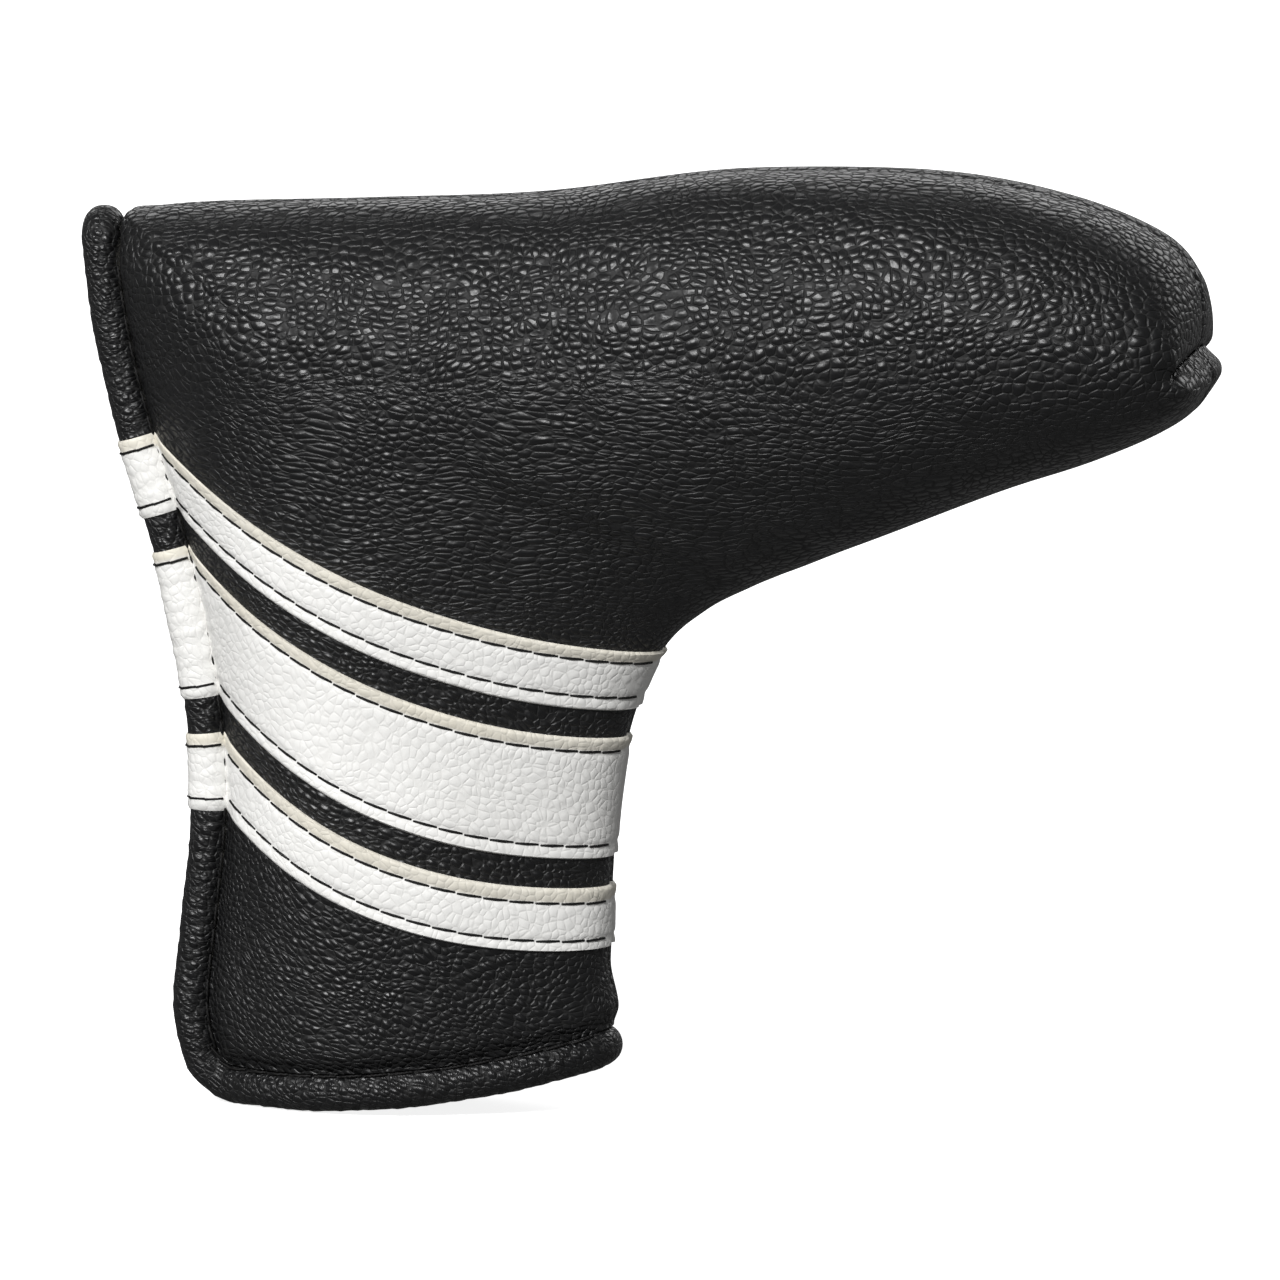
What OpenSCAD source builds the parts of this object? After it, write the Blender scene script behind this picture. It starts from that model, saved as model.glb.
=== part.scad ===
// Head cover for a blade putter: a leather boot with a padded, lined shell, a slit up the heel
// that closes on hidden magnets, a rolled binding round its edges and three stripes on the neck.
// The frame: origin at the middle of the neck's mouth, +X towards the toe, +Z up, -Y the near side.

/* [Overall] */
// Length from the heel binding to the toe
cover_l = 158.5; // [135:0.5:195]
// Height from the mouth's rim to the top of the head
cover_h = 131; // [110:1:160]
// Width of the neck from the slit edge to the toe side seam
neck_w = 54; // [46:0.5:66]
// Depth of the neck at its mouth
neck_d = 28; // [24:0.5:36]
// Depth of the head at its deepest
head_d = 48.8; // [40:0.5:60]
// Depth of the toe along its seam
toe_d = 33.2; // [26:0.5:42]

/* [Layers] */
// Thickness of the outer leather
leather_t = 1.2; // [0.8:0.1:1.6]
// Thickness of the foam padding
foam_t = 2.4; // [1.8:0.1:3]
// Thickness of the fleece lining
lining_t = 1.2; // [0.8:0.1:1.6]
// Gap left between layers that touch
layer_gap = 0.1; // [0.05:0.01:0.2]

/* [Stripes] */
// Width of the lower and upper stripes
stripe_narrow = 9.1; // [6:0.1:11]
// Width of the middle stripe
stripe_wide = 17.4; // [13:0.1:21]
// Space between two stripes
stripe_space = 4.2; // [2:0.1:6]
// Thickness of a stripe
stripe_t = 0.9; // [0.5:0.1:1.2]

/* [Stitching] */
// Length of one stitch
stitch_l = 2.6; // [2:0.1:3.2]
// Distance from one stitch to the next
stitch_pitch = 3.6; // [3.4:0.1:5]
// Thickness of the thread
thread_t = 0.5; // [0.3:0.05:0.6]
// Distance of a stitch row from its stripe's edge
stitch_inset = 1.9; // [1.2:0.1:2.6]

/* [Binding] */
// Width of the rolled binding, out from the edge
binding_w = 5.2; // [5:0.1:7]
// Diameter of the filler cord inside the binding
cord_d = 3.2; // [2:0.1:3.4]
// Thickness of the white inserts on the binding
insert_t = 0.5; // [0.3:0.05:0.7]
// Gap between the binding and the panel's edge
binding_gap = 0.2; // [0.1:0.05:0.4]
// Gap between the two lips when they are shut
lip_gap = 0.4; // [0.2:0.05:0.8]

/* [Magnets] */
// Diameter of a magnet
magnet_d = 9; // [7:0.5:10]
// Thickness of a magnet
magnet_t = 1.1; // [0.8:0.1:1.2]
// Thickness of the tape that the magnets are sewn to
tape_t = 0.3; // [0.2:0.05:0.4]

/* [Flap] */
// Height above the rim where the hinge line leaves the slit
hinge_top_z = 120; // [112:1:122]
// Distance from the slit's top corner to the hinge line
hinge_inset = 2.4; // [2:0.1:6]
// Distance in X from the mouth's middle to the hinge line, at the rim
hinge_foot_x = 10; // [4:1:14]
// Gap between a flap and the shell along the hinge line
hinge_gap = 0.6; // [0.4:0.1:1]

/* [Hidden] */

BLACK = [0.07, 0.07, 0.075];
WHITE = [0.93, 0.92, 0.9];
FOAM = [0.75, 0.72, 0.6];
FLEECE = [0.35, 0.35, 0.37];
THREAD = [0.03, 0.03, 0.03];
CORD = [0.85, 0.83, 0.78];
STEEL = [0.7, 0.72, 0.74];
TAPE = [0.2, 0.22, 0.26];

// The layers' depths below the outer skin.
wall = leather_t + foam_t + lining_t + 2 * layer_gap;
foam_at = leather_t + layer_gap;
lining_at = foam_at + foam_t + layer_gap;
stripe_at = -layer_gap / 2;
// Each half's lip is one wall thick, and half the lip gap from the middle plane.
lip = wall + lip_gap / 2;
// The two halves of the shell meet along the middle plane with this gap on each side.
seam_gap = 0.05;

// The slit's top corner, the neck's seam and the toe's end.
heel_x = -38.6;
slit_x = -24;
seam_x = slit_x + neck_w;
toe_x = cover_l + heel_x - binding_w - binding_gap;
// The toe, the neck's seam and the height that the table of stations is drawn at.
drawn_toe = 114.5;
drawn_seam = 30;
drawn_h = 131;
tall = cover_h / drawn_h;
function mix(a, b, t) = a + (b - a) * t;
function unit(v) = v / max(norm(v), 0.000001);
function ramp(t) = max(0, min(1, t));
// A point on the top line or on the seam line, stretched to the cover's own length.
function top(x) = heel_x + (x - heel_x) * (toe_x - heel_x) / (drawn_toe - heel_x);
function under(x) = seam_x + (x - drawn_seam) * (toe_x - seam_x) / (drawn_toe - drawn_seam);
function neck(t) = mix(neck_d, head_d, t) / 2;
function toe(t) = mix(toe_d, head_d, t) / 2;

// Stations from the mouth, up the neck, over the heel and along the head to the toe seam:
// outer edge x and z, inner edge x and z, sag, half depth, lip, fullness out and in, crown.
STATIONS = [for (r = [
    [-24.6, 3.5, under(31.6), 9.9, 2.1, neck(0), lip, 2, 0.9, 0],
    [-26.4, 11.8, under(30.9), 13.9, 3.6, neck(0.06), lip, 2, 0.9, 0],
    [-25, 25.8, under(30), 17.8, 4.6, neck(0.12), lip, 2, 0.9, 0],
    [-23.8, 39.3, under(30), 21.3, 5.2, neck(0.16), lip, 2, 0.9, 0],
    [-24.4, 52.8, under(30.3), 31.8, 5.4, neck(0.18), lip, 2, 0.9, 0],
    [-26.7, 66.3, under(31.2), 42.5, 5.4, neck(0.22), lip, 2, 0.9, 0],
    [-29.9, 79.5, under(33.2), 53.1, 5.4, neck(0.29), lip, 2, 0.9, 0],
    [-34, 92.5, under(37.6), 63.1, 5.4, neck(0.4), lip, 2, 0.9, 0],
    [-37.2, 105.5, under(44), 68.9, 4.4, neck(0.56), lip, 1.8, 0.9, 0],
    [-38.9, 117.3, under(50.2), 72.2, 3, neck(0.69), lip, 1.4, 0.9, 0],
    [heel_x, 122.9, under(54), 73.9, 2.2, neck(0.77), 0, 1, 0.9, 0],
    [top(-34), 123.9, under(55.2), 74.4, 1.9, neck(0.8), 0, 0.98, 0.9, 0],
    [top(-24), 124.7, under(57.5), 75.3, 1.4, neck(0.85), 0, 0.95, 0.9, 0],
    [top(-4), 125.5, under(61.8), 77.1, 0.6, neck(0.9), 0, 0.9, 0.9, 0],
    [top(20), 126.9, under(67.4), 79.3, 0, neck(0.96), 0, 0.85, 0.9, 0],
    [top(48), 130.5, under(76.6), 83.1, 0, neck(1), 0, 0.8, 0.9, 0],
    [top(74), 130.7, under(88), 87.5, 0, toe(0.95), 0, 0.75, 0.9, 0.3],
    [top(94.2), 127.6, under(99), 91.4, 0, toe(0.77), 0, 0.7, 0.85, 0.6],
    [top(107.2), 122.8, under(107.6), 95.2, 0, toe(0.54), 0, 0.74, 0.8, 1],
    [top(112.4), 117.2, under(112.8), 98.8, 0, toe(0.31), 0, 0.78, 0.8, 1.3],
    [top(113.6), 111.8, under(114.2), 102.8, 0, toe(0.13), 0, 0.82, 0.82, 1.5],
    [top(113.2), 106.9, top(113.2), 106.9, 0, toe(0), 0, 0.84, 0.84, 1.6],
]) [r[0], r[1] * tall, r[2], r[3] * tall, r[4], r[5], r[6], r[7], r[8], r[9]]];
last_station = len(STATIONS) - 1;
corner_station = 9;
toe_station = 18;

// A station between two rows of the table, along a smooth curve through the rows.
function station(s) =
    let(t = max(0, min(last_station - 0.000001, s)), i = floor(t), f = t - i,
        a = STATIONS[max(i - 1, 0)], b = STATIONS[i],
        c = STATIONS[i + 1], d = STATIONS[min(i + 2, last_station)])
    0.5 * (2 * b + (c - a) * f + (2 * a - 5 * b + 4 * c - d) * f * f
        + (3 * b - a - 3 * c + d) * f * f * f);
function reach(s) = let(r = station(s)) norm([r[2] - r[0], r[3] - r[1]]);

// The near half's surface at station s, v of the way from the outer to the inner edge, and
// depth d below the outer skin. The slit and mouth edges stay in line at every depth.
toe_slope = 1.2;
// How far the toe seam drops towards each side, as a share of the crown.
toe_droop = 1.3;
function skin(s, v, d = 0) =
    let(r = station(s), chord = [r[2] - r[0], r[3] - r[1]], span = norm(chord), dir = unit(chord),
        inset = min(d, span / 2), top_inset = inset * ramp(s - corner_station),
        u = (1 - cos(180 * v)) / 2, run = top_inset + (span - top_inset - inset) * u,
        bow = 4 * u * (1 - u) * r[4], edge = max(r[6] - d - seam_gap, 0), half = r[5] - d,
        fullness = mix(r[7], r[8], v * v * (3 - 2 * v)),
        y = seam_gap + edge * (1 - u) + (half - seam_gap - edge / 2) * pow(sin(180 * v), fullness),
        crown = r[9] * pow(y / half, 2), tuck = d * toe_slope * ramp((s - toe_station + 2) / 4) + crown)
    [r[0] + dir[0] * run + dir[1] * bow - tuck, -y,
        r[1] + dir[1] * run - dir[0] * bow - toe_droop * crown];
// The outward normal of that surface.
function skin_normal(s, v, d = 0) =
    let(e = 0.02)
    unit(cross(skin(s, v + e, d) - skin(s, v - e, d), skin(s + e, v, d) - skin(s - e, v, d)));
// Where a layer at depth d closes at the toe.
function toe_end(d, low = toe_station, high = last_station, n = 24) =
    n == 0 ? low : let(m = (low + high) / 2)
    reach(m) > 2 * d ? toe_end(d, m, high, n - 1) : toe_end(d, low, m, n - 1);

// The hinge line, in the XZ plane: a flap lies on its heel side and the shell on its toe side.
hinge_top = [heel_x + hinge_inset, hinge_top_z * tall];
hinge_foot = [hinge_foot_x, 0];
hinge_run = unit(hinge_foot - hinge_top);
hinge_side = [hinge_run[1], -hinge_run[0]];
function past_hinge(p) = [p[0] - hinge_top[0], p[2] - hinge_top[1]] * hinge_side;
// How far across station s the hinge line crosses, less a gap to one side of it.
function hinge_v(s, d, side, low = 0, high = 0.75, n = 22) =
    n == 0 ? low : let(m = (low + high) / 2)
    past_hinge(skin(s, m, d)) > side * hinge_gap / 2
        ? hinge_v(s, d, side, m, high, n - 1) : hinge_v(s, d, side, low, m, n - 1);

// Stripe edges, as stations. One station on the neck is 11 mm along its middle.
neck_station = 11;
station_mm = neck_station * tall;
function edges_after(edge, space, width) = [edge + space / station_mm, edge + (space + width) / station_mm];
lower_edges = edges_after(3, 0, stripe_narrow);
middle_edges = edges_after(lower_edges[1], stripe_space, stripe_wide);
upper_edges = edges_after(middle_edges[1], stripe_space, stripe_narrow);
flap_top = 8.75;
row_gap = 0.06;
// Below this station a flap's padding leaves room for the magnets beside the slit.
magnet_top = lower_edges[1] + stripe_space / station_mm / 2;

function steps(a, b, n) = [for (i = [0 : n]) a + (b - a) * i / n];
lower_rows = steps(lower_edges[0], lower_edges[1], 2);
middle_rows = steps(middle_edges[0], middle_edges[1], 3);
upper_rows = steps(upper_edges[0], upper_edges[1], 2);
flap_low_rows = concat([0, 0.3, 0.6, 1, 1.5, 2.2], lower_rows, [magnet_top]);
flap_high_rows = concat([magnet_top + row_gap], middle_rows, upper_rows,
    [(upper_rows[2] + flap_top) / 2, flap_top]);
flap_rows = concat(flap_low_rows, flap_high_rows);
head_rows = concat([flap_top + row_gap, 9.2, 9.5, 9.75, 10, 10.5], [for (s = [11 : toe_station]) s]);
flap_cols = 6;
magnet_cols = 4;
shell_cols = 10;

// Grids of points at one depth: rows of stations, columns across them.
function flap_grid(rows, d, first = 0, end = flap_cols) =
    [for (s = rows) let(h = hinge_v(s, d, 1)) [for (j = [first : end]) skin(s, h * j / flap_cols, d)]];
function shell_row(s, d, start) =
    [for (j = [0 : shell_cols]) skin(s, start + (1 - start) * j / shell_cols, d)];
function neck_grid(rows, d) = [for (s = rows) shell_row(s, d, hinge_v(s, d, -1))];
function shell_grid(d) =
    let(end = toe_end(max(d, 0)), toe_rows = [for (t = [0.3, 0.55, 0.75, 0.9, 1]) mix(toe_station, end, t)])
    concat(neck_grid(flap_rows, d), [for (s = concat(head_rows, toe_rows)) shell_row(s, d, 0)]);

// A closed skin between an outer and an inner grid. wrap joins its last column to its first,
// and fold closes its last row on itself, as at the toe.
module sheet(outer, inner, wrap = false, fold = false) {
    n = len(outer[0]);
    rows = len(outer) - 1;
    cols = wrap ? n : n - 1;
    size = len(outer) * n;
    function at(i, j) = i * n + (fold && i == rows ? min(j, n - 1 - j) : j % n);
    function quad(a, b, c, d) = [[a, b, c], [a, c, d]];
    outside = [for (i = [0 : rows - 1], j = [0 : cols - 1])
        each quad(at(i, j), at(i + 1, j), at(i + 1, j + 1), at(i, j + 1))];
    inside = [for (i = [0 : rows - 1], j = [0 : cols - 1])
        each size * [[1, 1, 1], [1, 1, 1]] + quad(at(i, j), at(i, j + 1), at(i + 1, j + 1), at(i + 1, j))];
    sides = wrap ? [] : [for (i = [0 : rows - 1])
        each concat(quad(at(i + 1, 0), at(i, 0), size + at(i, 0), size + at(i + 1, 0)),
            quad(at(i, n - 1), at(i + 1, n - 1), size + at(i + 1, n - 1), size + at(i, n - 1)))];
    start = [for (j = [0 : cols - 1]) each quad(at(0, j), at(0, j + 1), size + at(0, j + 1), size + at(0, j))];
    finish = fold ? [] : [for (j = [0 : cols - 1])
        each quad(at(rows, j + 1), at(rows, j), size + at(rows, j), size + at(rows, j + 1))];
    polyhedron([for (g = [outer, inner], row = g) each row], concat(outside, inside, sides, start, finish));
}

// A closed solid through a list of rings.
module loft(rings) {
    n = len(rings[0]);
    last = len(rings) - 1;
    sides = [for (i = [0 : last - 1], j = [0 : n - 1])
        let(a = i * n + j, b = i * n + (j + 1) % n) each [[a, a + n, b + n], [a, b + n, b]]];
    caps = [[for (j = [0 : n - 1]) j], [for (j = [0 : n - 1]) last * n + n - 1 - j]];
    polyhedron([for (r = rings) each r], concat(sides, caps));
}

// A binding runs beside an edge of the panel. Each place on its route is its centre, the way out
// from the edge and the way out from the skin.
binding_b = wall / 2;
binding_out = binding_w / 2 + binding_gap;
lip_mid = (wall + lip_gap) / 2;
function edge_mid(s, v) = (skin(s, v, 0) + skin(s, v, wall)) / 2;
function slit_mid(s) = let(p = skin(s, 0, 0)) [p[0], -lip_mid, p[2]];
function place(p, t, out) =
    let(o = unit(out - t * (t * out))) [p + o * binding_out, o, cross(t, o)];
function route(points, outs, first_t) =
    [for (i = [0 : len(points) - 1])
        let(a = points[max(i - 1, 0)], b = points[min(i + 1, len(points) - 1)],
            t = i == 0 && norm(first_t) > 0 ? first_t : unit(b - a))
        place(points[i], t, norm(outs[i]) > 0 ? outs[i] : cross([0, -1, 0], t))];
down = [0, 0, -1];
sideways = [0, 0, 0];

foot_v = hinge_v(0, wall / 2, 0);
cut_v = 0.006;
mouth_vs = [1, 0.96, 0.91, 0.86, 0.8, 0.74, foot_v + cut_v];
mouth_route = route([for (v = mouth_vs) edge_mid(0, v)], [for (v = mouth_vs) down], [0, -1, 0]);
lip_vs = concat(steps(foot_v - cut_v, 0.2, 7), [0.1]);
slit_ss = concat([0.25, 0.5, 0.75, 1.05], steps(1.35, flap_top, 21));
edge_route = route(
    concat([for (v = lip_vs) edge_mid(0, v)], [for (s = slit_ss) slit_mid(s)]),
    concat([for (v = lip_vs) down], [for (s = slit_ss) sideways]), sideways);
function slit_index(s) = len(lip_vs) + len([for (q = slit_ss) if (q < s) q]);

// The arch climbs from the near flap's top, turns over the corner and comes down the far side.
arch_ss = [flap_top + row_gap, 9, 9.2];
arch_climb = route([for (s = arch_ss) slit_mid(s)], [for (s = arch_ss) sideways], sideways);
arch_foot = arch_climb[len(arch_ss) - 1];
arch_turn = [for (a = [20 : 20 : 160])
    let(o = arch_foot[1], up = cross(o, arch_foot[2]), t = cos(a) * up + sin(a) * [0, 1, 0])
    [arch_foot[0] + lip_mid * ([0, 1, 0] * (1 - cos(a)) + up * sin(a)), o, cross(t, o)]];
function across(p) = [p[0], -p[1], p[2]];
arch_route = concat(arch_climb, arch_turn,
    [for (i = [len(arch_climb) - 1 : -1 : 0]) let(q = arch_climb[i]) [across(q[0]), q[1], across(q[2])]]);

// An oval section round each place on a route, over an arc from a to b.
function ovals(path, out, thick, sides) =
    [for (q = path) [for (k = [0 : sides - 1])
        let(a = 360 * k / sides) q[0] + out * cos(a) * q[1] + thick * sin(a) * q[2]]];
function arcs(path, grow, from, to, n) =
    [for (q = path) [for (k = [0 : n])
        let(a = mix(from, to, k / n))
        q[0] + (binding_w / 2 + grow) * cos(a) * q[1] + (binding_b + grow) * sin(a) * q[2]]];
cord_gap = 0.25;
module binding(path) {
    bore = cord_d / 2 + cord_gap;
    sheet(ovals(path, binding_w / 2, binding_b, 8), ovals(path, bore, bore, 8), wrap = true);
}
module cord(path) {
    loft(ovals(path, cord_d / 2, cord_d / 2, 6));
}

// One stitch: a short bar at p, along t, raised by n.
module stitch(p, t, n, length) {
    multmatrix([[t[0], cross(n, t)[0], n[0], p[0]], [t[1], cross(n, t)[1], n[1], p[1]],
        [t[2], cross(n, t)[2], n[2], p[2]], [0, 0, 0, 1]])
        cube([length, thread_t + 0.1, thread_t], center = true);
}
thread_lift = 0.15;
function stitch_stops(s, v, end) =
    v > end ? [] : let(e = 0.01, speed = norm(skin(s, v + e) - skin(s, v - e)) / (2 * e))
    concat([v], stitch_stops(s, v + stitch_pitch / speed, end));
// A row of stitches on a stripe along station s, from start to end.
module stripe_row(s, start, end) {
    d = stripe_at - stripe_t;
    for (v = stitch_stops(s, start, end)) {
        n = skin_normal(s, v, d);
        along = skin(s, v + 0.02, d) - skin(s, v - 0.02, d);
        stitch(skin(s, v, d) + n * (thread_lift + thread_t / 2), unit(along - n * (n * along)), n, stitch_l);
    }
}
function row_stations() =
    [for (e = [lower_edges, middle_edges, upper_edges])
        each [e[0] + stitch_inset / station_mm, e[1] - stitch_inset / station_mm]];
// A row of stitches in the groove between a binding and its panel, one to each length of a route.
groove_depth = 1.9;
// No stitch lies where the groove turns by more than this.
sharp_turn = 30;
module groove_row(path) {
    for (i = [0 : len(path) - 2]) {
        a = path[i];
        b = path[i + 1];
        t = unit(b[0] - a[0]);
        n = unit(a[2] + b[2] - t * ((a[2] + b[2]) * t));
        o = cross(n, t);
        if (a[1] * b[1] > cos(sharp_turn))
            stitch((a[0] + b[0]) / 2 - o * (binding_out - 0.55) + n * groove_depth, t, n,
                min(stitch_l, norm(b[0] - a[0]) - 0.8));
    }
}

module shell_layer(d, t) {
    sheet(shell_grid(d), shell_grid(d + t), fold = true);
}
module flap_layer(rows, d, t, first = 0, end = flap_cols) {
    sheet(flap_grid(rows, d, first, end), flap_grid(rows, d + t, first, end));
}
module stripe(rows) {
    color(WHITE) sheet(neck_grid(rows, stripe_at - stripe_t), neck_grid(rows, stripe_at));
}
module flap_stripe(rows) {
    color(WHITE) flap_layer(rows, stripe_at - stripe_t, stripe_t);
}

module leather() {
    color(BLACK) shell_layer(0, leather_t);
}
module padding() {
    color(FOAM) shell_layer(foam_at, foam_t);
}
module lining() {
    color(FLEECE) shell_layer(lining_at, lining_t);
}
module stripe_thread() {
    hinge_margin = 0.035;
    color(THREAD) for (s = row_stations()) stripe_row(s, hinge_v(s, 0, -1) + hinge_margin, 0.95);
}
module mouth_binding() {
    color(BLACK) binding(mouth_route);
}
module mouth_cord() {
    color(CORD) cord(mouth_route);
}
module mouth_thread() {
    color(THREAD) groove_row(mouth_route);
}
module arch_binding() {
    color(BLACK) binding(arch_route);
}
module arch_cord() {
    color(CORD) cord(arch_route);
}

module flap_leather() {
    color(BLACK) flap_layer(flap_rows, 0, leather_t);
}
module flap_padding() {
    color(FOAM) {
        flap_layer(flap_low_rows, foam_at, foam_t, first = magnet_cols);
        flap_layer(flap_high_rows, foam_at, foam_t);
    }
}
module flap_lining() {
    color(FLEECE) flap_layer(flap_rows, lining_at, lining_t);
}
module flap_thread() {
    edge_v = 0.09;
    hinge_margin = 0.035;
    color(THREAD) for (s = row_stations()) stripe_row(s, edge_v, hinge_v(s, 0, 1) - hinge_margin);
}
module edge_binding() {
    color(BLACK) binding(edge_route);
}
module edge_cord() {
    color(CORD) cord(edge_route);
}
module edge_thread() {
    color(THREAD) groove_row(edge_route);
}
// A white insert wraps the binding from its groove to just short of the other lip.
module insert(edges) {
    path = [for (i = [slit_index(edges[0]) : slit_index(edges[1])]) edge_route[i]];
    skin_side = 125;
    lip_side = -45;
    color(WHITE) sheet(arcs(path, layer_gap + insert_t, lip_side, skin_side, 6),
        arcs(path, layer_gap, lip_side, skin_side, 6));
}
module magnet_tape() {
    color(TAPE) flap_layer(flap_low_rows, foam_at, tape_t, end = magnet_cols);
}
// A magnet lies midway between the tape and the lining.
module magnet(s, v) {
    top_d = foam_at + tape_t;
    n = skin_normal(s, v, (top_d + lining_at) / 2);
    p = (skin(s, v, top_d) + skin(s, v, lining_at)) / 2;
    color(STEEL) translate(p) rotate([0, acos(n[2]), atan2(n[1], n[0])])
        cylinder(d = magnet_d, h = magnet_t, center = true, $fn = 48);
}
magnet_low = [1.5, 0.19];
magnet_high = [3.45, 0.19];

// The far half mirrors the near half.
module far() {
    mirror([0, 1, 0]) children();
}

leather();  // near_leather
padding();  // near_padding
lining();  // near_lining
stripe(lower_rows);  // near_stripe_lower
stripe(middle_rows);  // near_stripe_middle
stripe(upper_rows);  // near_stripe_upper
stripe_thread();  // near_stripe_thread
mouth_binding();  // near_mouth_binding
mouth_cord();  // near_mouth_cord
mouth_thread();  // near_mouth_thread
far() leather();  // far_leather
far() padding();  // far_padding
far() lining();  // far_lining
far() stripe(lower_rows);  // far_stripe_lower
far() stripe(middle_rows);  // far_stripe_middle
far() stripe(upper_rows);  // far_stripe_upper
far() stripe_thread();  // far_stripe_thread
far() mouth_binding();  // far_mouth_binding
far() mouth_cord();  // far_mouth_cord
far() mouth_thread();  // far_mouth_thread
arch_binding();
arch_cord();
flap_leather();  // near_flap_leather
flap_padding();  // near_flap_padding
flap_lining();  // near_flap_lining
flap_stripe(lower_rows);  // near_flap_stripe_lower
flap_stripe(middle_rows);  // near_flap_stripe_middle
flap_stripe(upper_rows);  // near_flap_stripe_upper
flap_thread();  // near_flap_thread
edge_binding();  // near_edge_binding
edge_cord();  // near_edge_cord
edge_thread();  // near_edge_thread
insert(lower_edges);  // near_insert_lower
insert(middle_edges);  // near_insert_middle
insert(upper_edges);  // near_insert_upper
magnet_tape();  // near_magnet_tape
magnet(magnet_low[0], magnet_low[1]);  // near_magnet_lower
magnet(magnet_high[0], magnet_high[1]);  // near_magnet_upper
far() flap_leather();  // far_flap_leather
far() flap_padding();  // far_flap_padding
far() flap_lining();  // far_flap_lining
far() flap_stripe(lower_rows);  // far_flap_stripe_lower
far() flap_stripe(middle_rows);  // far_flap_stripe_middle
far() flap_stripe(upper_rows);  // far_flap_stripe_upper
far() flap_thread();  // far_flap_thread
far() edge_binding();  // far_edge_binding
far() edge_cord();  // far_edge_cord
far() edge_thread();  // far_edge_thread
far() insert(lower_edges);  // far_insert_lower
far() insert(middle_edges);  // far_insert_middle
far() insert(upper_edges);  // far_insert_upper
far() magnet_tape();  // far_magnet_tape
far() magnet(magnet_low[0], magnet_low[1]);  // far_magnet_lower
far() magnet(magnet_high[0], magnet_high[1]);  // far_magnet_upper
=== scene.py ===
import math

import bpy
import numpy as np
from mathutils import Matrix, Vector


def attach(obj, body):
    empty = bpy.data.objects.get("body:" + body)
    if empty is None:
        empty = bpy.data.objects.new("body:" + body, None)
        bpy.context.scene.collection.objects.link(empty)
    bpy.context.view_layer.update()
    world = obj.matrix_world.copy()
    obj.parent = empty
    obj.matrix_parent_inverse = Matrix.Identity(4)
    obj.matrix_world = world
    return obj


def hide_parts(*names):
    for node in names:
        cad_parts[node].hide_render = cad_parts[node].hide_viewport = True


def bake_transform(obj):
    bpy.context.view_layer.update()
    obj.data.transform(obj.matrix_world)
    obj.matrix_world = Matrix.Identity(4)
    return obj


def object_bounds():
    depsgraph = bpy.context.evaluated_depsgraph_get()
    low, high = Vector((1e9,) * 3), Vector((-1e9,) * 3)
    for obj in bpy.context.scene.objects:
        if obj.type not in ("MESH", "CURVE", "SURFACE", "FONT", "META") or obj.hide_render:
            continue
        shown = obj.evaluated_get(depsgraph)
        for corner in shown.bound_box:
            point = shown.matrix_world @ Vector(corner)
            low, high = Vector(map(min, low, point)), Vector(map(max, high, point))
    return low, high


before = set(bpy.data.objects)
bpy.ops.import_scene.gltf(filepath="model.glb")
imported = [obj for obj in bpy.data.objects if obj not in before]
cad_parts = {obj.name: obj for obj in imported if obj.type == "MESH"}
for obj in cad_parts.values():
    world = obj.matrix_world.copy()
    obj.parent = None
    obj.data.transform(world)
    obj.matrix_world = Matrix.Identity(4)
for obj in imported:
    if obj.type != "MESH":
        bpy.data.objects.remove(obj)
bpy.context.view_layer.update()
print("frame loaded")

mm = 0.001

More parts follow.
